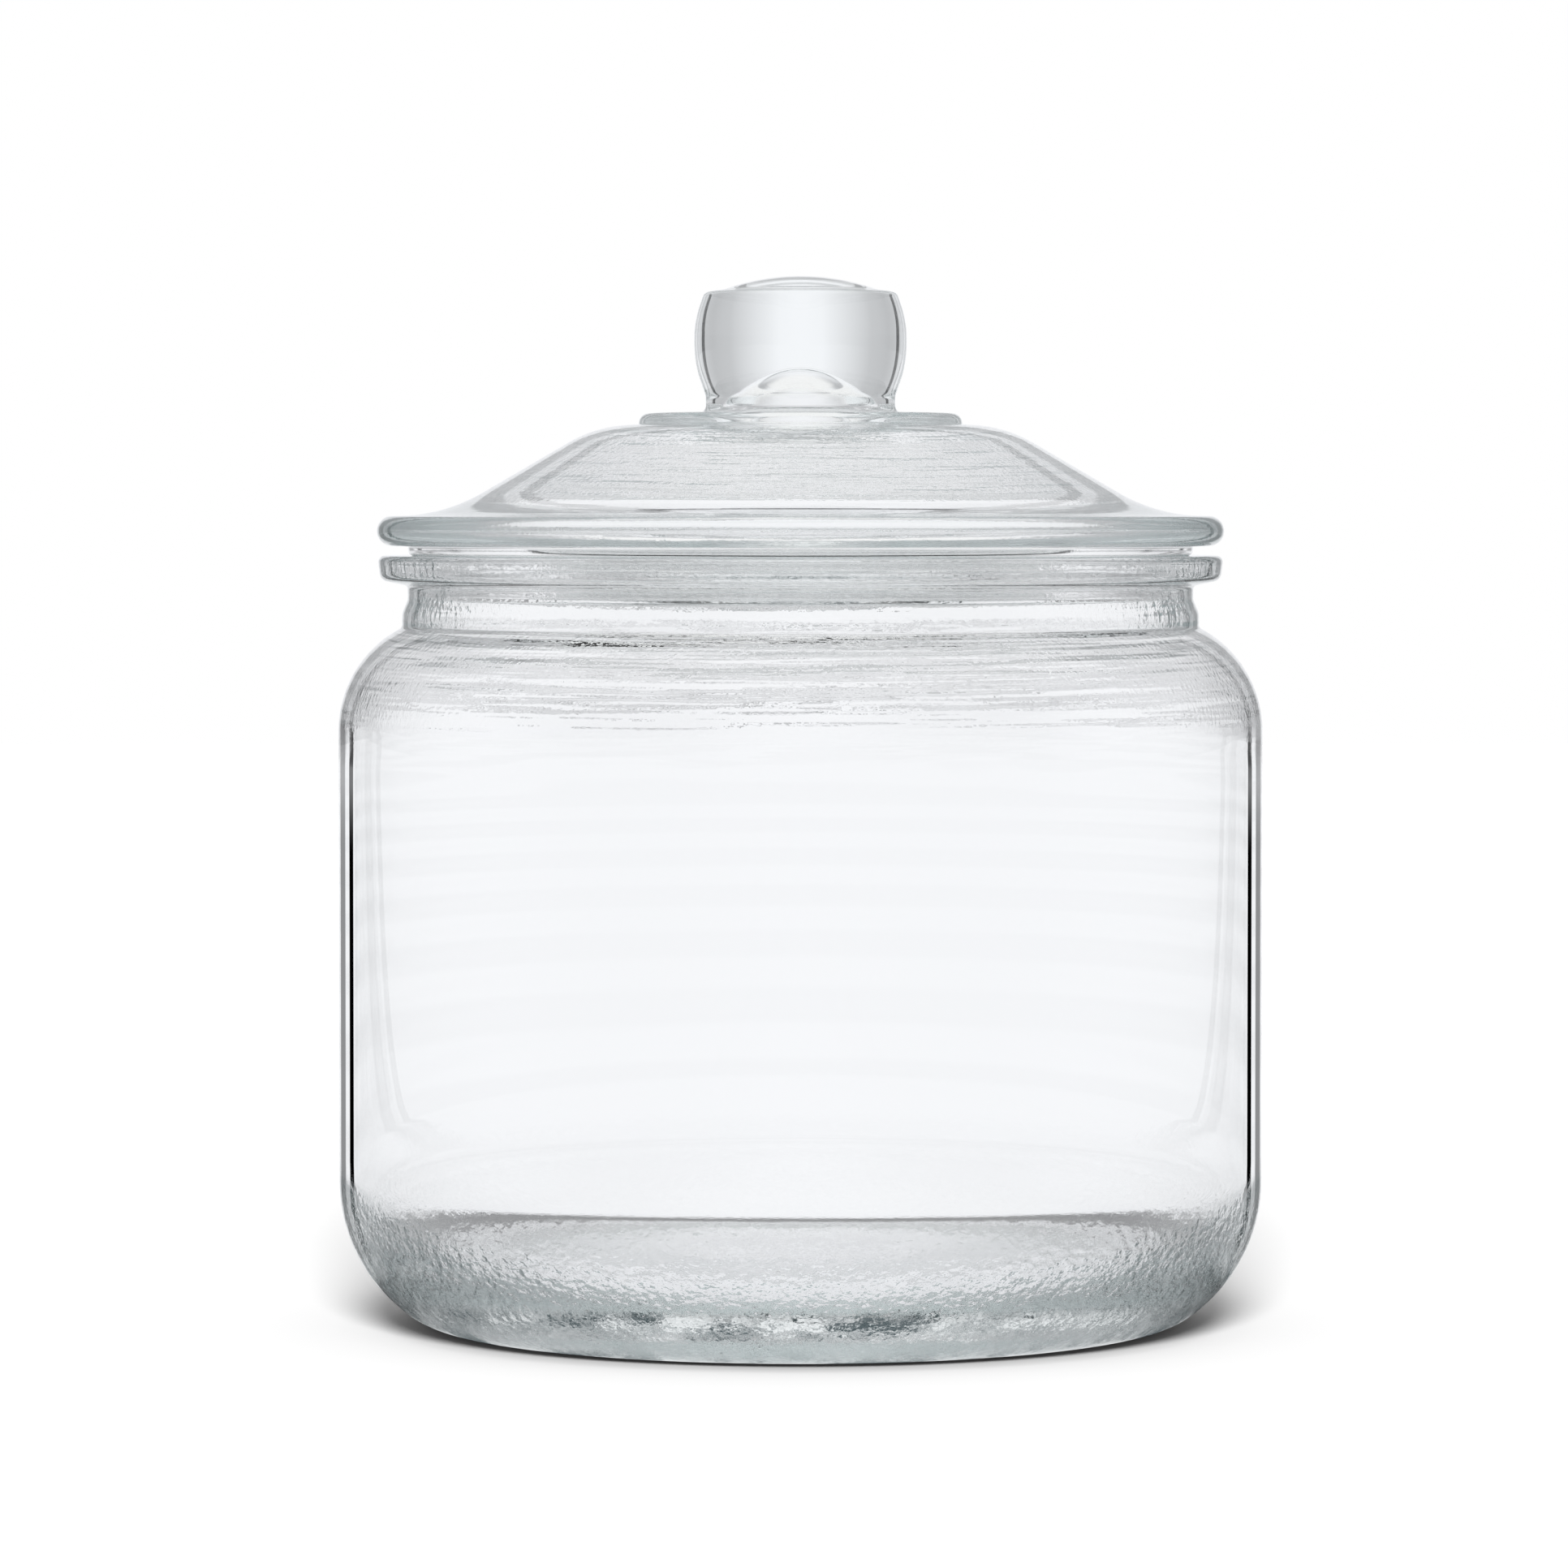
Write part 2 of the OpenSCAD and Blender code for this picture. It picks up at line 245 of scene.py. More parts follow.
def turned(name, path, closed, ripple, marks):
    """Surface of revolution with a ripple: row k and column angle u give the point
    ((r + n_r d) cos u, (r + n_r d) sin u, z + n_z d), where (r, z) is the path's point k, (n_r, n_z) its
    normal and d = ripple(s, r, z, n_r, n_z, u) a depth in mm, at most 0, with s the length of the path up to
    point k. A path that ends on the axis closes in one vertex. For each name in marks, an attribute of
    that name holds marks[name](r, z, n_r, n_z), how strongly such marks show on each row."""
    normals = outward_normals(path, closed)
    steps = np.linalg.norm(np.diff(path, axis=0), axis=1)
    lengths = np.concatenate([[0], np.cumsum(steps)])
    kept = slice(0, -1) if closed else slice(1, -1)
    u = np.linspace(0, 2 * math.pi, COLUMNS, endpoint=False)[None, :]
    r, z = path[kept, 0][:, None], path[kept, 1][:, None]
    n_r, n_z = normals[kept, 0][:, None], normals[kept, 1][:, None]
    d = ripple(lengths[kept][:, None], r, z, n_r, n_z, u)
    radial = r + n_r * d
    grid = np.stack([radial * np.cos(u), radial * np.sin(u), z + n_z * d + 0 * u], axis=2).reshape(-1, 3)
    count = len(r)
    k = np.arange(count if closed else count - 1)[:, None]
    j = np.arange(COLUMNS)[None, :]
    after = (j + 1) % COLUMNS
    here, above = k * COLUMNS, ((k + 1) % count) * COLUMNS
    faces = np.stack([here + j, here + after, above + after, above + j], axis=2).reshape(-1, 4).tolist()
    if not closed:
        first, last = len(grid), len(grid) + 1
        grid = np.vstack([grid, [(0, 0, path[0][1]), (0, 0, path[-1][1])]])
        top = (count - 1) * COLUMNS
        ring, after = j[0], after[0]
        faces += np.stack([first + 0 * ring, after, ring], axis=1).tolist()
        faces += np.stack([top + ring, top + after, last + 0 * ring], axis=1).tolist()
    mesh = bpy.data.meshes.new(name)
    mesh.from_pydata((grid * MM).tolist(), [], faces)
    mesh.polygons.foreach_set("use_smooth", np.ones(len(mesh.polygons), bool))
    for kind, share in marks.items():
        strength = np.zeros(len(grid), np.float32)
        strength[:count * COLUMNS] = np.repeat(share(r, z, n_r, n_z).ravel(), COLUMNS)
        mesh.attributes.new(kind, "FLOAT", "POINT").data.foreach_set("value", strength)
    mesh.update()
    piece = bpy.data.objects.new(name, mesh)
    bpy.context.scene.collection.objects.link(piece)
    return piece


def waves(s, u, terms):
    """Mean of cosines cos(m u + w s + phase), one for each (m, w) of terms: m whole waves round the axis and
    w radians for each mm along the profile. Each next phase is a golden turn further on."""
    golden = math.pi * (3 - math.sqrt(5))
    total = 0 * (s + u)
    for i, (m, w) in enumerate(terms):
        total = total + np.cos(m * u + w * s + golden * (i + 1))
    return total / len(terms)


def ramp(x, low, high):
    """0 below low, 1 above high, and a smooth step between; low above high turns it round."""
    t = np.clip((x - low) / (high - low), 0, 1)
    return t * t * (3 - 2 * t)


RINGS = ((2, 1.25), (3, -0.95), (5, 1.6), (1, 0.6))        # long streaks that run round the axis
PATCHES = ((13, 0.9), (-19, 0.7), (9, -1.3), (27, -0.5))   # short patches
CELLS = ((36, 0.25), (-29, 0.45), (17, -0.6))              # upright cells


def jar_zones(r, z, n_r, n_z):
    """How far each row lies on the inside, neck, shoulder and heel, where the jar's skin is uneven."""
    inside = np.clip(ramp(-n_r, 0.0, 0.3) + ramp(n_z, 0.7, 0.95) * ramp(z, 60, 10), 0, 1)
    neck = ramp(z, JAR_H - 13, JAR_H - 11) * ramp(z, JAR_H - 1, JAR_H - 3)
    shoulder = ramp(z, 98, 106) * ramp(z, JAR_H - 5, JAR_H - 9)
    heel = ramp(z, 26, 16) * ramp(r, 20, 45)
    return inside, neck, shoulder, heel


def jar_ripple(s, r, z, n_r, n_z, u):
    """Depth of the jar's uneven skin: the inside of the shoulder and heel holds rings and patches up to
    0.2 mm deep, the outside of both a fifth of that, and the inside of the neck upright cells."""
    inside, neck, shoulder, heel = jar_zones(r, z, n_r, n_z)
    rings = (1 + waves(s, u, RINGS)) / 2
    patches = (1 + waves(s, u, PATCHES)) / 2
    cells = (1 + waves(s, u, CELLS)) / 2
    skin = 0.2 + 0.8 * inside
    uneven = skin * (shoulder * (0.16 * rings + 0.04 * patches) + heel * (0.05 * rings + 0.06 * patches))
    return -uneven - 0.16 * neck * inside * cells


def jar_chill(r, z, n_r, n_z):
    """Long chill marks show inside the shoulder and on both sides of the rim."""
    inside, _, shoulder, _ = jar_zones(r, z, n_r, n_z)
    rim = ramp(z, JAR_H - 12, JAR_H - 9)
    return np.maximum((0.06 + 0.94 * inside) * ramp(z, 102, 107) * shoulder, (0.35 + 0.25 * inside) * rim)


def jar_mottle(r, z, n_r, n_z):
    """Short chill marks show on both sides of the heel, more on its inside, and inside the neck and rim."""
    inside, _, _, heel = jar_zones(r, z, n_r, n_z)
    return heel * (0.4 + 0.6 * inside) + 0.5 * inside * ramp(z, JAR_H - 14, JAR_H - 11)


def lid_zones(r, z, n_z):
    """Where the lid's skin is uneven: the share of the underside, and of the dome, at each row."""
    under = ramp(-n_z, 0.2, 0.6)
    dome = ramp(r, 24, 34) * ramp(r, 72, 62) * ramp(z, LID_SEAT - 3, LID_SEAT + 1)
    return under, dome


def lid_ripple(s, r, z, n_r, n_z, u):
    """Depth of the lid's uneven skin: rings and patches under the dome, fainter on top of it, and none on the
    plug, where the seal grips."""
    under, dome = lid_zones(r, z, n_z)
    rings = (1 + waves(s, u, RINGS)) / 2
    patches = (1 + waves(s, u, PATCHES)) / 2
    return -(0.15 + 0.85 * under) * dome * (0.10 * rings + 0.03 * patches)


def lid_chill(r, z, n_r, n_z):
    """Chill marks show mostly under the dome, and faintly all over the bead."""
    under, dome = lid_zones(r, z, n_z)
    bead = ramp(r, 62, 68)
    return dome * (0.1 + 0.9 * under) + 0.4 * bead


def still(s, r, z, n_r, n_z, u):
    """No ripple."""
    return 0 * (r + u)


def even(r, z, n_r, n_z):
    """The same all over."""
    return 1 + 0 * r


# ---------------------------------------------------------------- materials
def fed(tree, kind, values, **settings):
    """A new node of this kind with its settings, and with each named input set to a number or colour, or
    linked to another node's output."""
    node = tree.nodes.new(kind)
    for name, value in settings.items():
        setattr(node, name, value)
    for name, value in values.items():
        if isinstance(value, bpy.types.NodeSocket):
            tree.links.new(value, node.inputs[name])
        else:
            node.inputs[name].default_value = value
    return node


def worked(tree, operation, *values):
    """The output of a Math node on two or three values."""
    return fed(tree, "ShaderNodeMath", dict(enumerate(values)), operation=operation).outputs[0]


def stepped(tree, value, low, high):
    """A smooth step of a value from 0 at low to 1 at high."""
    node = fed(tree, "ShaderNodeMapRange", {"Value": value, "From Min": low, "From Max": high},
               interpolation_type="SMOOTHSTEP")
    return node.outputs["Result"]


def between(tree, value, low, high, edge):
    """1 where a value lies between low and high, 0 elsewhere, with soft edges."""
    rise = stepped(tree, value, low, low + edge)
    fall = stepped(tree, value, high, high + edge)
    return worked(tree, "SUBTRACT", rise, fall)


def new_group(name, inputs, outputs):
    """An empty shader node group with float or vector sockets, its input node and its output node."""
    tree = bpy.data.node_groups.new(name, "ShaderNodeTree")
    for socket, kind in inputs:
        tree.interface.new_socket(name=socket, in_out="INPUT", socket_type=kind)
    for socket, kind in outputs:
        tree.interface.new_socket(name=socket, in_out="OUTPUT", socket_type=kind)
    return tree, tree.nodes.new("NodeGroupInput"), tree.nodes.new("NodeGroupOutput")


def chill_group():
    """Chill marks of pressed glass: streaks that run round the axis, from noise on (x / r, y / r) * turns,
    z * rows and r * rows, and a fine grain. Each comes out centred on zero."""
    tree, given, result = new_group(
        "chill_marks",
        (("Vector", "NodeSocketVector"), ("Turns", "NodeSocketFloat"), ("Rows", "NodeSocketFloat"),
         ("Grain Scale", "NodeSocketFloat")),
        (("Streaks", "NodeSocketFloat"), ("Grain", "NodeSocketFloat")))
    place = fed(tree, "ShaderNodeSeparateXYZ", {"Vector": given.outputs["Vector"]})
    flat = fed(tree, "ShaderNodeCombineXYZ", {"X": place.outputs["X"], "Y": place.outputs["Y"]})
    radius = fed(tree, "ShaderNodeVectorMath", {0: flat.outputs[0]}, operation="LENGTH").outputs["Value"]
    unit = fed(tree, "ShaderNodeVectorMath", {0: flat.outputs[0]}, operation="NORMALIZE").outputs[0]
    spread = fed(tree, "ShaderNodeVectorMath", {0: unit, "Scale": given.outputs["Turns"]}, operation="SCALE")
    level = worked(tree, "MULTIPLY", place.outputs["Z"], given.outputs["Rows"])
    lifted = fed(tree, "ShaderNodeCombineXYZ", {"Z": level})
    where = fed(tree, "ShaderNodeVectorMath", {0: spread.outputs[0], 1: lifted.outputs[0]}, operation="ADD")
    ring = worked(tree, "MULTIPLY", radius, given.outputs["Rows"])
    streaks = fed(tree, "ShaderNodeTexNoise",
                  {"Vector": where.outputs[0], "W": ring, "Scale": 1.0, "Detail": 2.0, "Roughness": 0.5},
                  noise_dimensions="4D")
    grain = fed(tree, "ShaderNodeTexNoise",
                {"Vector": given.outputs["Vector"], "Scale": given.outputs["Grain Scale"], "Detail": 1.0})
    centred = worked(tree, "SUBTRACT", streaks.outputs["Fac"], 0.5)
    tree.links.new(centred, result.inputs["Streaks"])
    tree.links.new(worked(tree, "SUBTRACT", grain.outputs["Fac"], 0.5), result.inputs["Grain"])
    return tree


CHILL = chill_group()
GLASS_IOR = 1.52
GLASS_TINT = (0.88, 0.925, 0.925)
GLASS_DEPTH = 10.0  # absorption density, per metre


def marked_normal(tree, layers):
    """A Bump normal from layers of chill marks. A layer is (attribute that holds its strength on the piece,
    turns, rows, depth of its streaks, grain scale, depth of its grain), with depths in metres."""
    place = fed(tree, "ShaderNodeTexCoord", {}).outputs["Object"]
    height = 0.0
    for kind, turns, rows, streak_depth, grain_scale, grain_depth in layers:
        marks = fed(tree, "ShaderNodeGroup", {}, node_tree=CHILL)
        tree.links.new(place, marks.inputs["Vector"])
        marks.inputs["Turns"].default_value = turns
        marks.inputs["Rows"].default_value = rows
        marks.inputs["Grain Scale"].default_value = grain_scale
        grain = worked(tree, "MULTIPLY", marks.outputs["Grain"], grain_depth)
        relief = worked(tree, "MULTIPLY_ADD", marks.outputs["Streaks"], streak_depth, grain)
        share = fed(tree, "ShaderNodeAttribute", {}, attribute_name=kind).outputs["Fac"]
        height = worked(tree, "MULTIPLY_ADD", relief, share, height)
    return fed(tree, "ShaderNodeBump", {"Height": height, "Strength": 1.0, "Distance": 1.0}).outputs["Normal"]


def clear_glass(name, layers):
    """Solid clear glass: full transmission, absorption through its depth, and layers of chill marks."""
    material = bpy.data.materials.new(name)
    material.use_nodes = True
    tree = material.node_tree
    shader = tree.nodes["Principled BSDF"]
    shader.inputs["Base Color"].default_value = (1, 1, 1, 1)
    shader.inputs["Roughness"].default_value = 0.0
    shader.inputs["IOR"].default_value = GLASS_IOR
    shader.inputs["Transmission Weight"].default_value = 1.0
    tree.links.new(marked_normal(tree, layers), shader.inputs["Normal"])
    depth = fed(tree, "ShaderNodeVolumeAbsorption", {"Color": (*GLASS_TINT, 1), "Density": GLASS_DEPTH})
    tree.links.new(depth.outputs["Volume"], tree.nodes["Material Output"].inputs["Volume"])
    return material


def soft_seal(name, layers):
    """Soft clear seal with a fine matt grain."""
    material = bpy.data.materials.new(name)
    material.use_nodes = True
    tree = material.node_tree
    shader = tree.nodes["Principled BSDF"]
    shader.inputs["Base Color"].default_value = (0.97, 0.98, 0.98, 1)
    shader.inputs["Roughness"].default_value = 0.06
    shader.inputs["IOR"].default_value = 1.41
    shader.inputs["Transmission Weight"].default_value = 1.0
    tree.links.new(marked_normal(tree, layers), shader.inputs["Normal"])
    return material


# ---------------------------------------------------------------- pieces
# attribute, turns, rows, depth of streaks, grain scale, depth of grain
LONG_MARKS = ("chill", 1.6, 480.0, 0.00036, 1100.0, 0.00004)
SHORT_MARKS = ("mottle", 45.0, 760.0, 0.00030, 1400.0, 0.00003)
DOME_MARKS = ("chill", 1.6, 560.0, 0.00032, 1100.0, 0.00006)
SEAL_MARKS = ("grain", 8.0, 700.0, 0.0, 2500.0, 0.00001)
jar = turned("jar", jar_profile(), False, jar_ripple, {"chill": jar_chill, "mottle": jar_mottle})
seal = turned("seal", seal_profile(), True, still, {"grain": even})
lid = turned("lid", lid_profile(), False, lid_ripple, {"chill": lid_chill})
for piece, body, node, slot, material in (
    (jar, "jar", "glass_jar", "jar_glass", clear_glass("jar_glass", (LONG_MARKS, SHORT_MARKS))),
    (seal, "seal", "seal_ring", "seal_rubber", soft_seal("seal_rubber", (SEAL_MARKS,))),
    (lid, "lid", "glass_lid", "lid_glass", clear_glass("lid_glass", (DOME_MARKS,))),
):
    piece.data.materials.append(material)
    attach(piece, body)
    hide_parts(node)

# ---------------------------------------------------------------- studio
scene = bpy.context.scene
scene.view_settings.view_transform = "Standard"
scene.cycles.max_bounces = 96
scene.cycles.transmission_bounces = 96
scene.cycles.glossy_bounces = 96
scene.cycles.diffuse_bounces = 3
scene.cycles.caustics_refractive = False  # the glass shades the floor as a full jar does
scene.cycles.caustics_reflective = False

# floor and light on it
FLOOR_HALF = 3.0
FILL = 0.46                # light from all sides on matt surfaces
KEY_STRENGTH = 4.1
KEY_SPREAD = 18.0          # degrees across the lamp, as the object sees it
KEY_ELEVATION = 30.0       # degrees
CONTACT_REACH = 0.010      # how near something must stand to deepen the painted shade under it
CONTACT_TONE = 0.65        # tone of the floor where that painted shade is full
CONTACT_CLEAR = 0.5        # open sky from which the floor has its own tone
BARE_GLOW = 0.03           # glow that brings the bare floor up to the white of the world

# floor under the glass, as it shows in glass, painted with light and shade, in metres from the axis
CONTACT_RING = (0.060, 0.080)        # painted shade on the floor under the heel
RING_EDGE = 0.012
CONTACT_SHADE = 0.85
NEAR_REACH = (0.075, 0.12)           # where it goes over into the open floor
NEAR_CLEAR = (0.90, 0.91, 0.94, 1)   # seen straight through the glass
NEAR_PAINTED_LIGHT = (0.92, 0.95, 0.96, 1)   # painted light, seen by way of inner reflections, in patches
NEAR_PAINTED_SHADE = (0.06, 0.09, 0.10, 1)    # and painted shade in the same patches
PATCH_SCALE = 55.0
PATCH_STEP = (0.44, 0.56)            # noise at which those patches turn from shade to light

# painted reflections: tones, flags and cards that show in glass
TONES = ((0, 0.98), (8, 0.97), (17, 0.82), (31, 0.57), (45, 0.50))  # brightness by degrees off an axis
BACK_TINT = (0.965, 0.975, 1.0)
PALE = (0.94, 0.95, 0.97, 1)         # painted light: what rays at edges and through two walls are lifted to
CEILING = (0.95, 0.95, 0.95, 1)
CEILING_STEP = (0.6, 0.85)           # height of a direction at which walls go over into the ceiling
SIDE_FLAG = (55.0, 60.2)             # painted black flag, upright, degrees off y, for rays through solid glass
WALL_STRIP = (24.5, 28.7)            # painted black strip behind, degrees off y, for rays that turn in a wall
WALL_CARD = (9.5, 18.7)              # painted grey card behind, for the same rays
CARD_SHADE = 0.7
WALL_TURN = 3.4                      # degrees by which each further pass inside a wall turns a ray back
WALL_OFFSET = math.degrees(0.078)    # how far a wall stands off the axis, as an angle at one metre
STRIP_REACH = (1.7, 2.8)             # where the strip starts to fade and where it is faint, on the floor
STRIP_FADE = 0.72                    # how dark the strip is where it stands beyond the floor
# painted grey cards above the floor, seen through two walls: the height of direction where each starts and
# ends, and its shade
RAISED_CARDS = ((0.012, 0.044, 0.55), (0.075, 0.115, 0.35), (0.20, 0.32, 0.40))
RAISED_EDGE = 0.012
HIGH_EDGE = 0.2                      # how strongly inner edges show the strip and card high above the floor
HIGH_STEP = (0.05, 0.12)             # height of a direction from which they do so
DEEP_SHADE = 0.6                     # how dark the painted bars of shade are that show after many surfaces
BARS = 22.0                          # their spacing, in radians per metre of floor and unit of height
BAR_EDGE = 0.4
CLEAR_LIFT = 0.9                     # painted light: how much closer to pale the floor shows straight through two walls
SOLID, WALL, THROUGH, DEEP = 2, 3, 4, 6  # surfaces that each kind of ray has met


def tone_group():
    """Painted reflections: brightness of the studio's surroundings in a direction, the same in front, behind
    and to both
    sides: white cards on the axes fall off to grey ones between them. The other outputs are masks of the
    painted flags and cards that draw the dark lines along the edges of clear glass. Lean, in degrees, moves
    the strip and the card outward."""
    tree, given, result = new_group("studio_tone",
                                    (("Vector", "NodeSocketVector"), ("Lean", "NodeSocketFloat")),
                                    (("Color", "NodeSocketColor"), ("Side Flag", "NodeSocketFloat"),
                                     ("Strip", "NodeSocketFloat"), ("Card", "NodeSocketFloat")))
    place = fed(tree, "ShaderNodeSeparateXYZ", {"Vector": given.outputs["Vector"]})
    across = worked(tree, "ABSOLUTE", place.outputs["X"])
    along = worked(tree, "ABSOLUTE", place.outputs["Y"])
    turn = worked(tree, "MULTIPLY", worked(tree, "ARCTAN2", across, along), 180 / math.pi)
    off = worked(tree, "SUBTRACT", 45, worked(tree, "ABSOLUTE", worked(tree, "SUBTRACT", turn, 45)))
    tone = fed(tree, "ShaderNodeValToRGB", {"Fac": worked(tree, "DIVIDE", off, 45)})
    elements = tone.color_ramp.elements
    elements.remove(elements[-1])
    for k, (degrees, value) in enumerate(TONES):
        element = elements[0] if k == 0 else elements.new(degrees / 45)
        element.position = degrees / 45
        element.color = (*(value * c for c in BACK_TINT), 1)
    behind = worked(tree, "GREATER_THAN", place.outputs["Y"], 0)
    aside = worked(tree, "SQRT", worked(tree, "ADD", worked(tree, "POWER", place.outputs["X"], 2),
                                        worked(tree, "POWER", place.outputs["Z"], 2)))
    cone = worked(tree, "MULTIPLY", worked(tree, "ARCTAN2", aside, along), 180 / math.pi)
    aimed = worked(tree, "SUBTRACT", cone, given.outputs["Lean"])
    tree.links.new(tone.outputs["Color"], result.inputs["Color"])
    tree.links.new(between(tree, turn, *SIDE_FLAG, 0.5), result.inputs["Side Flag"])
    tree.links.new(worked(tree, "MULTIPLY", between(tree, aimed, *WALL_STRIP, 0.4), behind),
                   result.inputs["Strip"])
    tree.links.new(worked(tree, "MULTIPLY", between(tree, aimed, *WALL_CARD, 1.5), behind),
                   result.inputs["Card"])
    return tree


def darkened(tree, color, mask):
    """A colour brought to black where the mask is 1."""
    rest = worked(tree, "SUBTRACT", 1, mask)
    return fed(tree, "ShaderNodeVectorMath", {0: color, "Scale": rest}, operation="SCALE").outputs[0]


def mixed(tree, factor, first, second):
    """The first colour where the factor is 0, the second where it is 1."""
    node = fed(tree, "ShaderNodeMix", {"Factor": factor, "A": first, "B": second}, data_type="RGBA")
    return node.outputs["Result"]


TONE = tone_group()


def bars(tree, value):
    """Soft painted bars of shade, one after the other along a value, like lamps and the gaps between them."""
    wave = worked(tree, "SINE", worked(tree, "MULTIPLY", value, BARS))
    return worked(tree, "MULTIPLY", stepped(tree, wave, -BAR_EDGE, BAR_EDGE), DEEP_SHADE)


def surroundings(tree, way, depth, offset, strips, inner, raised, barred, lift):
    """The painted tone of the studio in a direction, as glass shows it: painted light and shade that only
    glass rays see. Flags and cards show only to the kinds of ray that they are set for, told by depth, the
    number of surfaces that a ray has met. Offset is the degrees that the walls' distance from the axis adds.
    Strips, inner, raised and barred are how dark the strip, its share in inner edges, the high cards and the
    bars are. Lift is how far rays at the edges and through two walls go to pale."""
    solid = worked(tree, "COMPARE", depth, SOLID, 0.5)
    edge = worked(tree, "MODULO", depth, 2)
    through = worked(tree, "GREATER_THAN", depth, THROUGH - 0.5)
    deep = worked(tree, "GREATER_THAN", depth, DEEP - 0.5)
    tone = fed(tree, "ShaderNodeGroup", {}, node_tree=TONE)
    tree.links.new(way, tone.inputs["Vector"])
    passes = worked(tree, "DIVIDE", worked(tree, "SUBTRACT", WALL, depth), 2)
    tree.links.new(worked(tree, "MULTIPLY_ADD", passes, WALL_TURN, offset), tone.inputs["Lean"])
    card = worked(tree, "MULTIPLY", tone.outputs["Card"], CARD_SHADE)
    lines = worked(tree, "MULTIPLY", worked(tree, "MAXIMUM", card, tone.outputs["Strip"]), strips)
    glance = worked(tree, "COMPARE", depth, 1, 0.5)
    turned_back = worked(tree, "MULTIPLY", worked(tree, "MAXIMUM", edge, deep), inner)
    shown = worked(tree, "MAXIMUM", glance, turned_back)
    loss = worked(tree, "MULTIPLY", lines, shown)
    loss = worked(tree, "MAXIMUM", loss, worked(tree, "MULTIPLY", tone.outputs["Side Flag"], solid))
    loss = worked(tree, "MAXIMUM", loss, worked(tree, "MULTIPLY", through, raised))
    loss = worked(tree, "MAXIMUM", loss, worked(tree, "MULTIPLY", deep, barred))
    clear = worked(tree, "MAXIMUM", through, edge)
    lifted = mixed(tree, worked(tree, "MULTIPLY", clear, lift), tone.outputs["Color"], PALE)
    return darkened(tree, lifted, loss)


def floor_paint():
    """Pale floor: matt, with a painted shadow close under what stands on it, where ambient occlusion darkens
    its colour, white where the camera sees it bare, and, where it shows in glass, painted in the studio's
    tones, with painted patches of light and shade and a painted shaded ring under the heel."""
    material = bpy.data.materials.new("floor_paint")
    material.use_nodes = True
    tree = material.node_tree
    place = fed(tree, "ShaderNodeTexCoord", {}).outputs["Object"]
    reach = fed(tree, "ShaderNodeVectorMath", {0: place}, operation="LENGTH").outputs["Value"]
    strips = worked(tree, "MULTIPLY_ADD", stepped(tree, reach, *STRIP_REACH), STRIP_FADE - 1, 1)
    path = fed(tree, "ShaderNodeLightPath", {})
    depth = path.outputs["Ray Depth"]
    offset = worked(tree, "DIVIDE", WALL_OFFSET, reach)
    far = surroundings(tree, place, depth, offset, strips, 1.0, 0.0, bars(tree, reach), CLEAR_LIFT)
    inner = worked(tree, "MODULO", depth, 2)
    inner_or_deep = worked(tree, "MAXIMUM", inner, worked(tree, "GREATER_THAN", depth, DEEP - 0.5))
    # painted patches of light and shade, seen in glass by rays that turned inside a wall or met many surfaces
    patches = fed(tree, "ShaderNodeTexNoise",
                  {"Vector": place, "Scale": PATCH_SCALE, "Detail": 8.0, "Roughness": 0.7})
    painted_patches = mixed(tree, stepped(tree, patches.outputs["Fac"], *PATCH_STEP), NEAR_PAINTED_SHADE, NEAR_PAINTED_LIGHT)
    under = mixed(tree, inner_or_deep, NEAR_CLEAR, painted_patches)
    near = mixed(tree, stepped(tree, reach, *NEAR_REACH), under, far)
    # painted shade: a dark ring on the floor under the heel, shown only in glass
    ring = worked(tree, "MULTIPLY", between(tree, reach, *CONTACT_RING, RING_EDGE), CONTACT_SHADE)
    # emission that only glass rays see: the floor painted with the studio's tones, the patches and the shaded
    # ring
    through = fed(tree, "ShaderNodeEmission", {"Color": darkened(tree, near, ring)})
    # painted shadow: ambient occlusion near what stands on the floor darkens the floor's base colour
    open_sky = fed(tree, "ShaderNodeAmbientOcclusion", {"Distance": CONTACT_REACH}, samples=16).outputs["AO"]
    contact = fed(tree, "ShaderNodeValToRGB", {"Fac": open_sky})
    contact.color_ramp.elements[0].color = (CONTACT_TONE, CONTACT_TONE, CONTACT_TONE, 1)
    contact.color_ramp.elements[1].position = CONTACT_CLEAR
    shader = tree.nodes["Principled BSDF"]
    shader.inputs["Roughness"].default_value = 1.0
    shader.inputs["Specular IOR Level"].default_value = 0.0
    tree.links.new(contact.outputs["Color"], shader.inputs["Base Color"])
    lift = worked(tree, "MULTIPLY", path.outputs["Is Camera Ray"], BARE_GLOW)
    glow = fed(tree, "ShaderNodeEmission", {"Color": contact.outputs["Color"], "Strength": lift})
    bare = fed(tree, "ShaderNodeAddShader", {0: shader.outputs[0], 1: glow.outputs[0]})
    in_glass = worked(tree, "MAXIMUM", path.outputs["Is Glossy Ray"], path.outputs["Is Transmission Ray"])
    seen = fed(tree, "ShaderNodeMixShader", {0: in_glass, 1: bare.outputs[0], 2: through.outputs[0]})
    tree.links.new(seen.outputs[0], tree.nodes["Material Output"].inputs["Surface"])
    return material


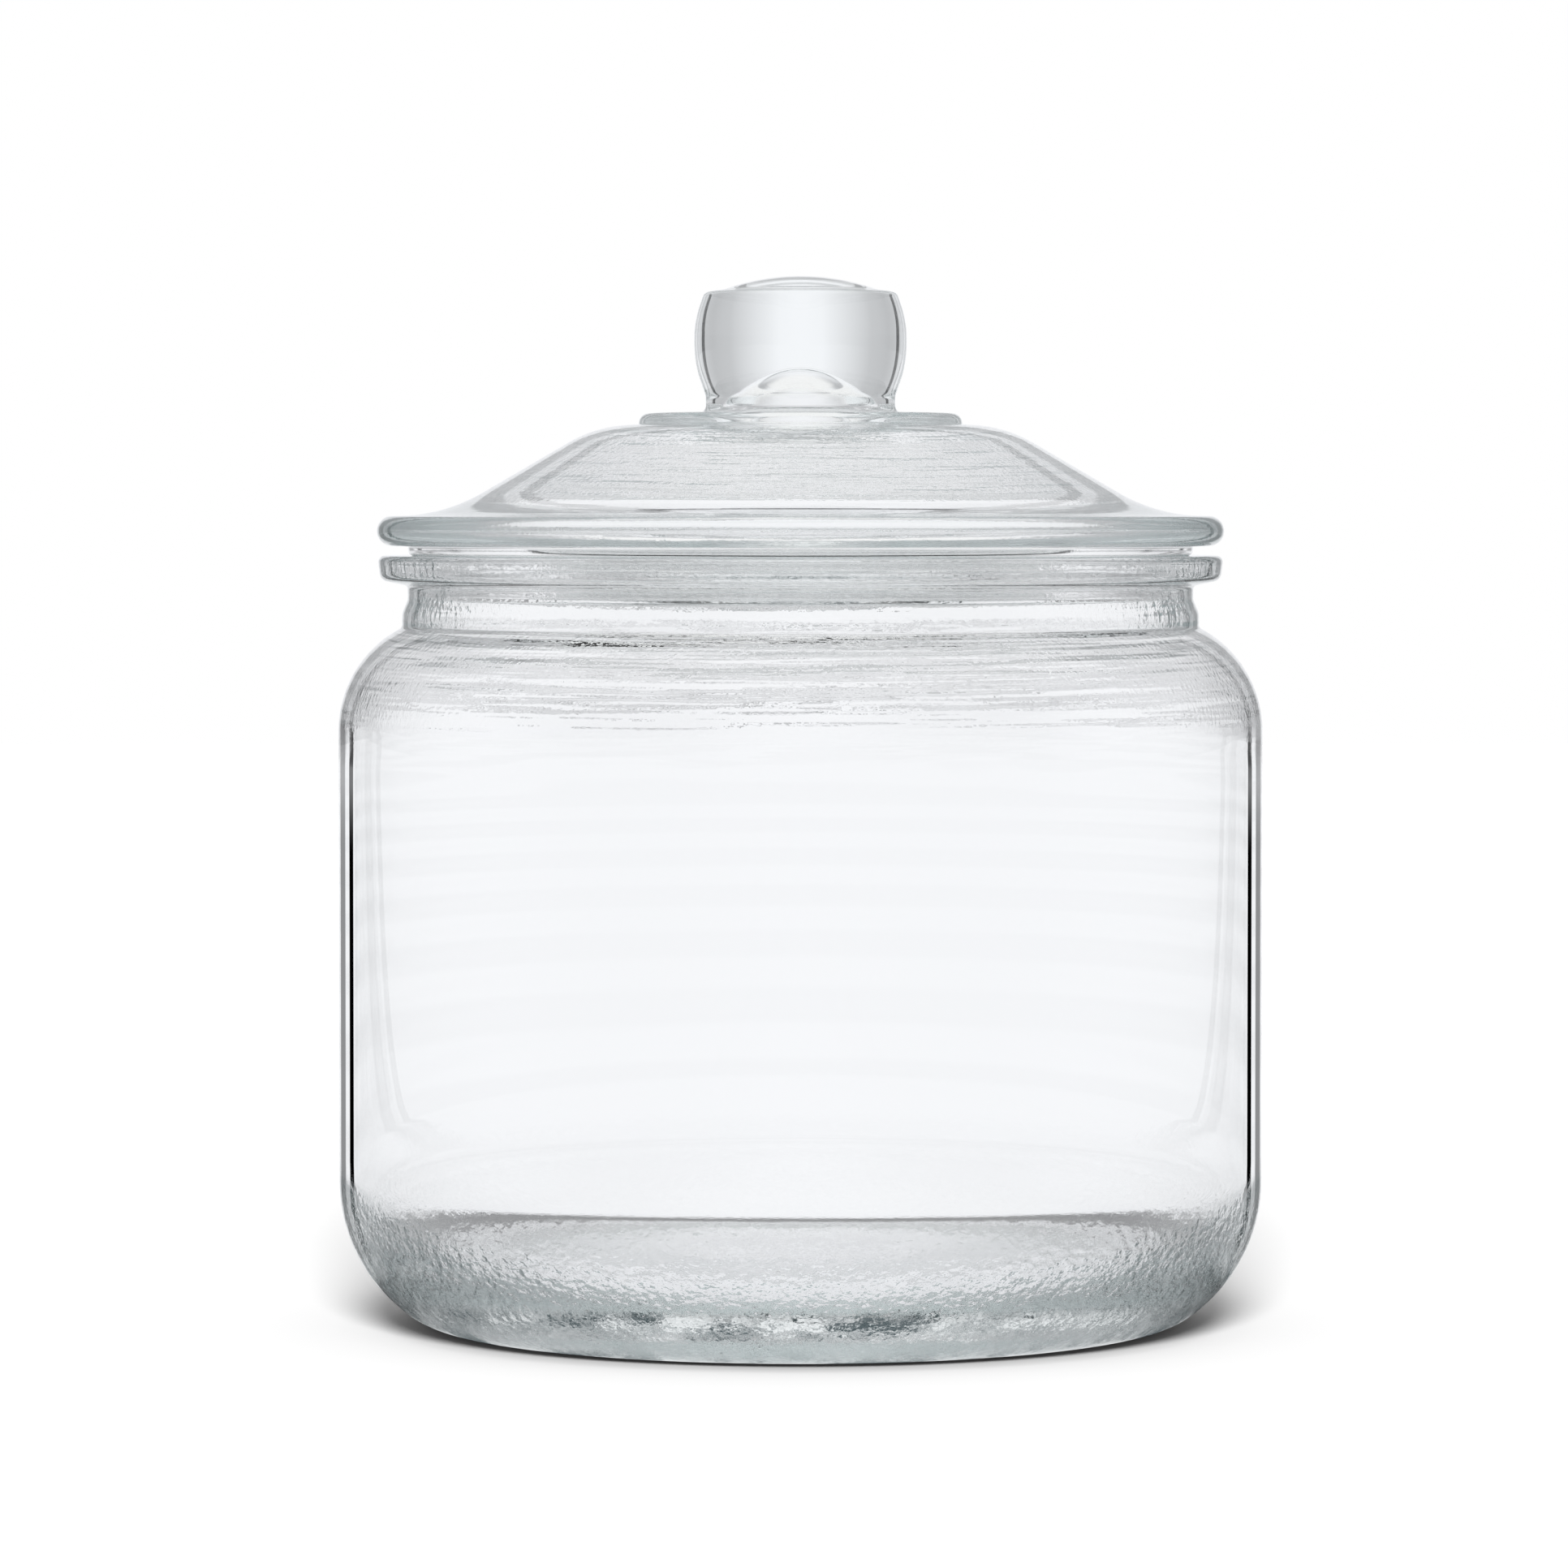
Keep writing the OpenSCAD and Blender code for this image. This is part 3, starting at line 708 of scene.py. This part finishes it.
def studio_world():
    """Even soft light, white to the camera. Glass sees it in painted tones of the studio, with painted flags,
    cards and bars of shade, and a white ceiling.
    """
    world = bpy.data.worlds.new("studio")
    world.use_nodes = True
    tree = world.node_tree
    way = fed(tree, "ShaderNodeTexCoord", {}).outputs["Generated"]
    rise = fed(tree, "ShaderNodeSeparateXYZ", {"Vector": way}).outputs["Z"]
    path = fed(tree, "ShaderNodeLightPath", {})
    raised = 0.0
    for low, high, loss in RAISED_CARDS:
        raised = worked(tree, "MULTIPLY_ADD", between(tree, rise, low, high, RAISED_EDGE), loss, raised)
    fading = worked(tree, "MULTIPLY", stepped(tree, rise, *HIGH_STEP), 1 - HIGH_EDGE)
    inner = worked(tree, "SUBTRACT", 1, fading)
    depth = worked(tree, "SUBTRACT", path.outputs["Ray Depth"], 1)  # the world counts one more than the floor
    walls = surroundings(tree, way, depth, 0.0, STRIP_FADE, inner, raised, bars(tree, rise), 0.0)
    roofed = mixed(tree, stepped(tree, rise, *CEILING_STEP), walls, CEILING)
    lit = mixed(tree, path.outputs["Is Diffuse Ray"], roofed, (FILL, FILL, FILL, 1))
    shown = mixed(tree, path.outputs["Is Camera Ray"], lit, (1, 1, 1, 1))
    tree.links.new(shown, tree.nodes["Background"].inputs["Color"])
    return world


def key_light():
    """Large soft lamp from the front and above, which throws the shadow behind what stands on the floor."""
    light = bpy.data.lights.new("key", "SUN")
    light.energy = KEY_STRENGTH
    light.angle = math.radians(KEY_SPREAD)
    lamp = bpy.data.objects.new("key", light)
    lamp.rotation_euler = (math.radians(90 - KEY_ELEVATION), 0, 0)
    lamp.visible_glossy = False
    lamp.visible_transmission = False
    scene.collection.objects.link(lamp)


floor_mesh = bpy.data.meshes.new("floor")
corners = [(x * FLOOR_HALF, y * FLOOR_HALF, -0.0002) for x, y in ((-1, -1), (1, -1), (1, 1), (-1, 1))]
floor_mesh.from_pydata(corners, [], [(0, 1, 2, 3)])
floor_mesh.materials.append(floor_paint())
floor = bpy.data.objects.new("floor", floor_mesh)
scene.collection.objects.link(floor)
scene.world = studio_world()
key_light()

# ---------------------------------------------------------------- camera
CAMERA_DISTANCE = 1.25
CAMERA_HEIGHT = 0.1425
FRAME_SIDE = 1932
FOCAL_PIXELS = 8882.5
HORIZON_ROW, AXIS_COLUMN = 619.0, 986.3
lens = bpy.data.cameras.new("camera")
lens.sensor_width = 36
lens.lens = FOCAL_PIXELS / FRAME_SIDE * 36
camera = bpy.data.objects.new("camera", lens)
camera.location = (0, -CAMERA_DISTANCE, CAMERA_HEIGHT)
tilt = math.atan((FRAME_SIDE / 2 - HORIZON_ROW) / FOCAL_PIXELS)
pan = math.atan((AXIS_COLUMN - FRAME_SIDE / 2) / FOCAL_PIXELS)
camera.rotation_euler = (math.pi / 2 - tilt, 0, pan)
scene.collection.objects.link(camera)
scene.camera = camera
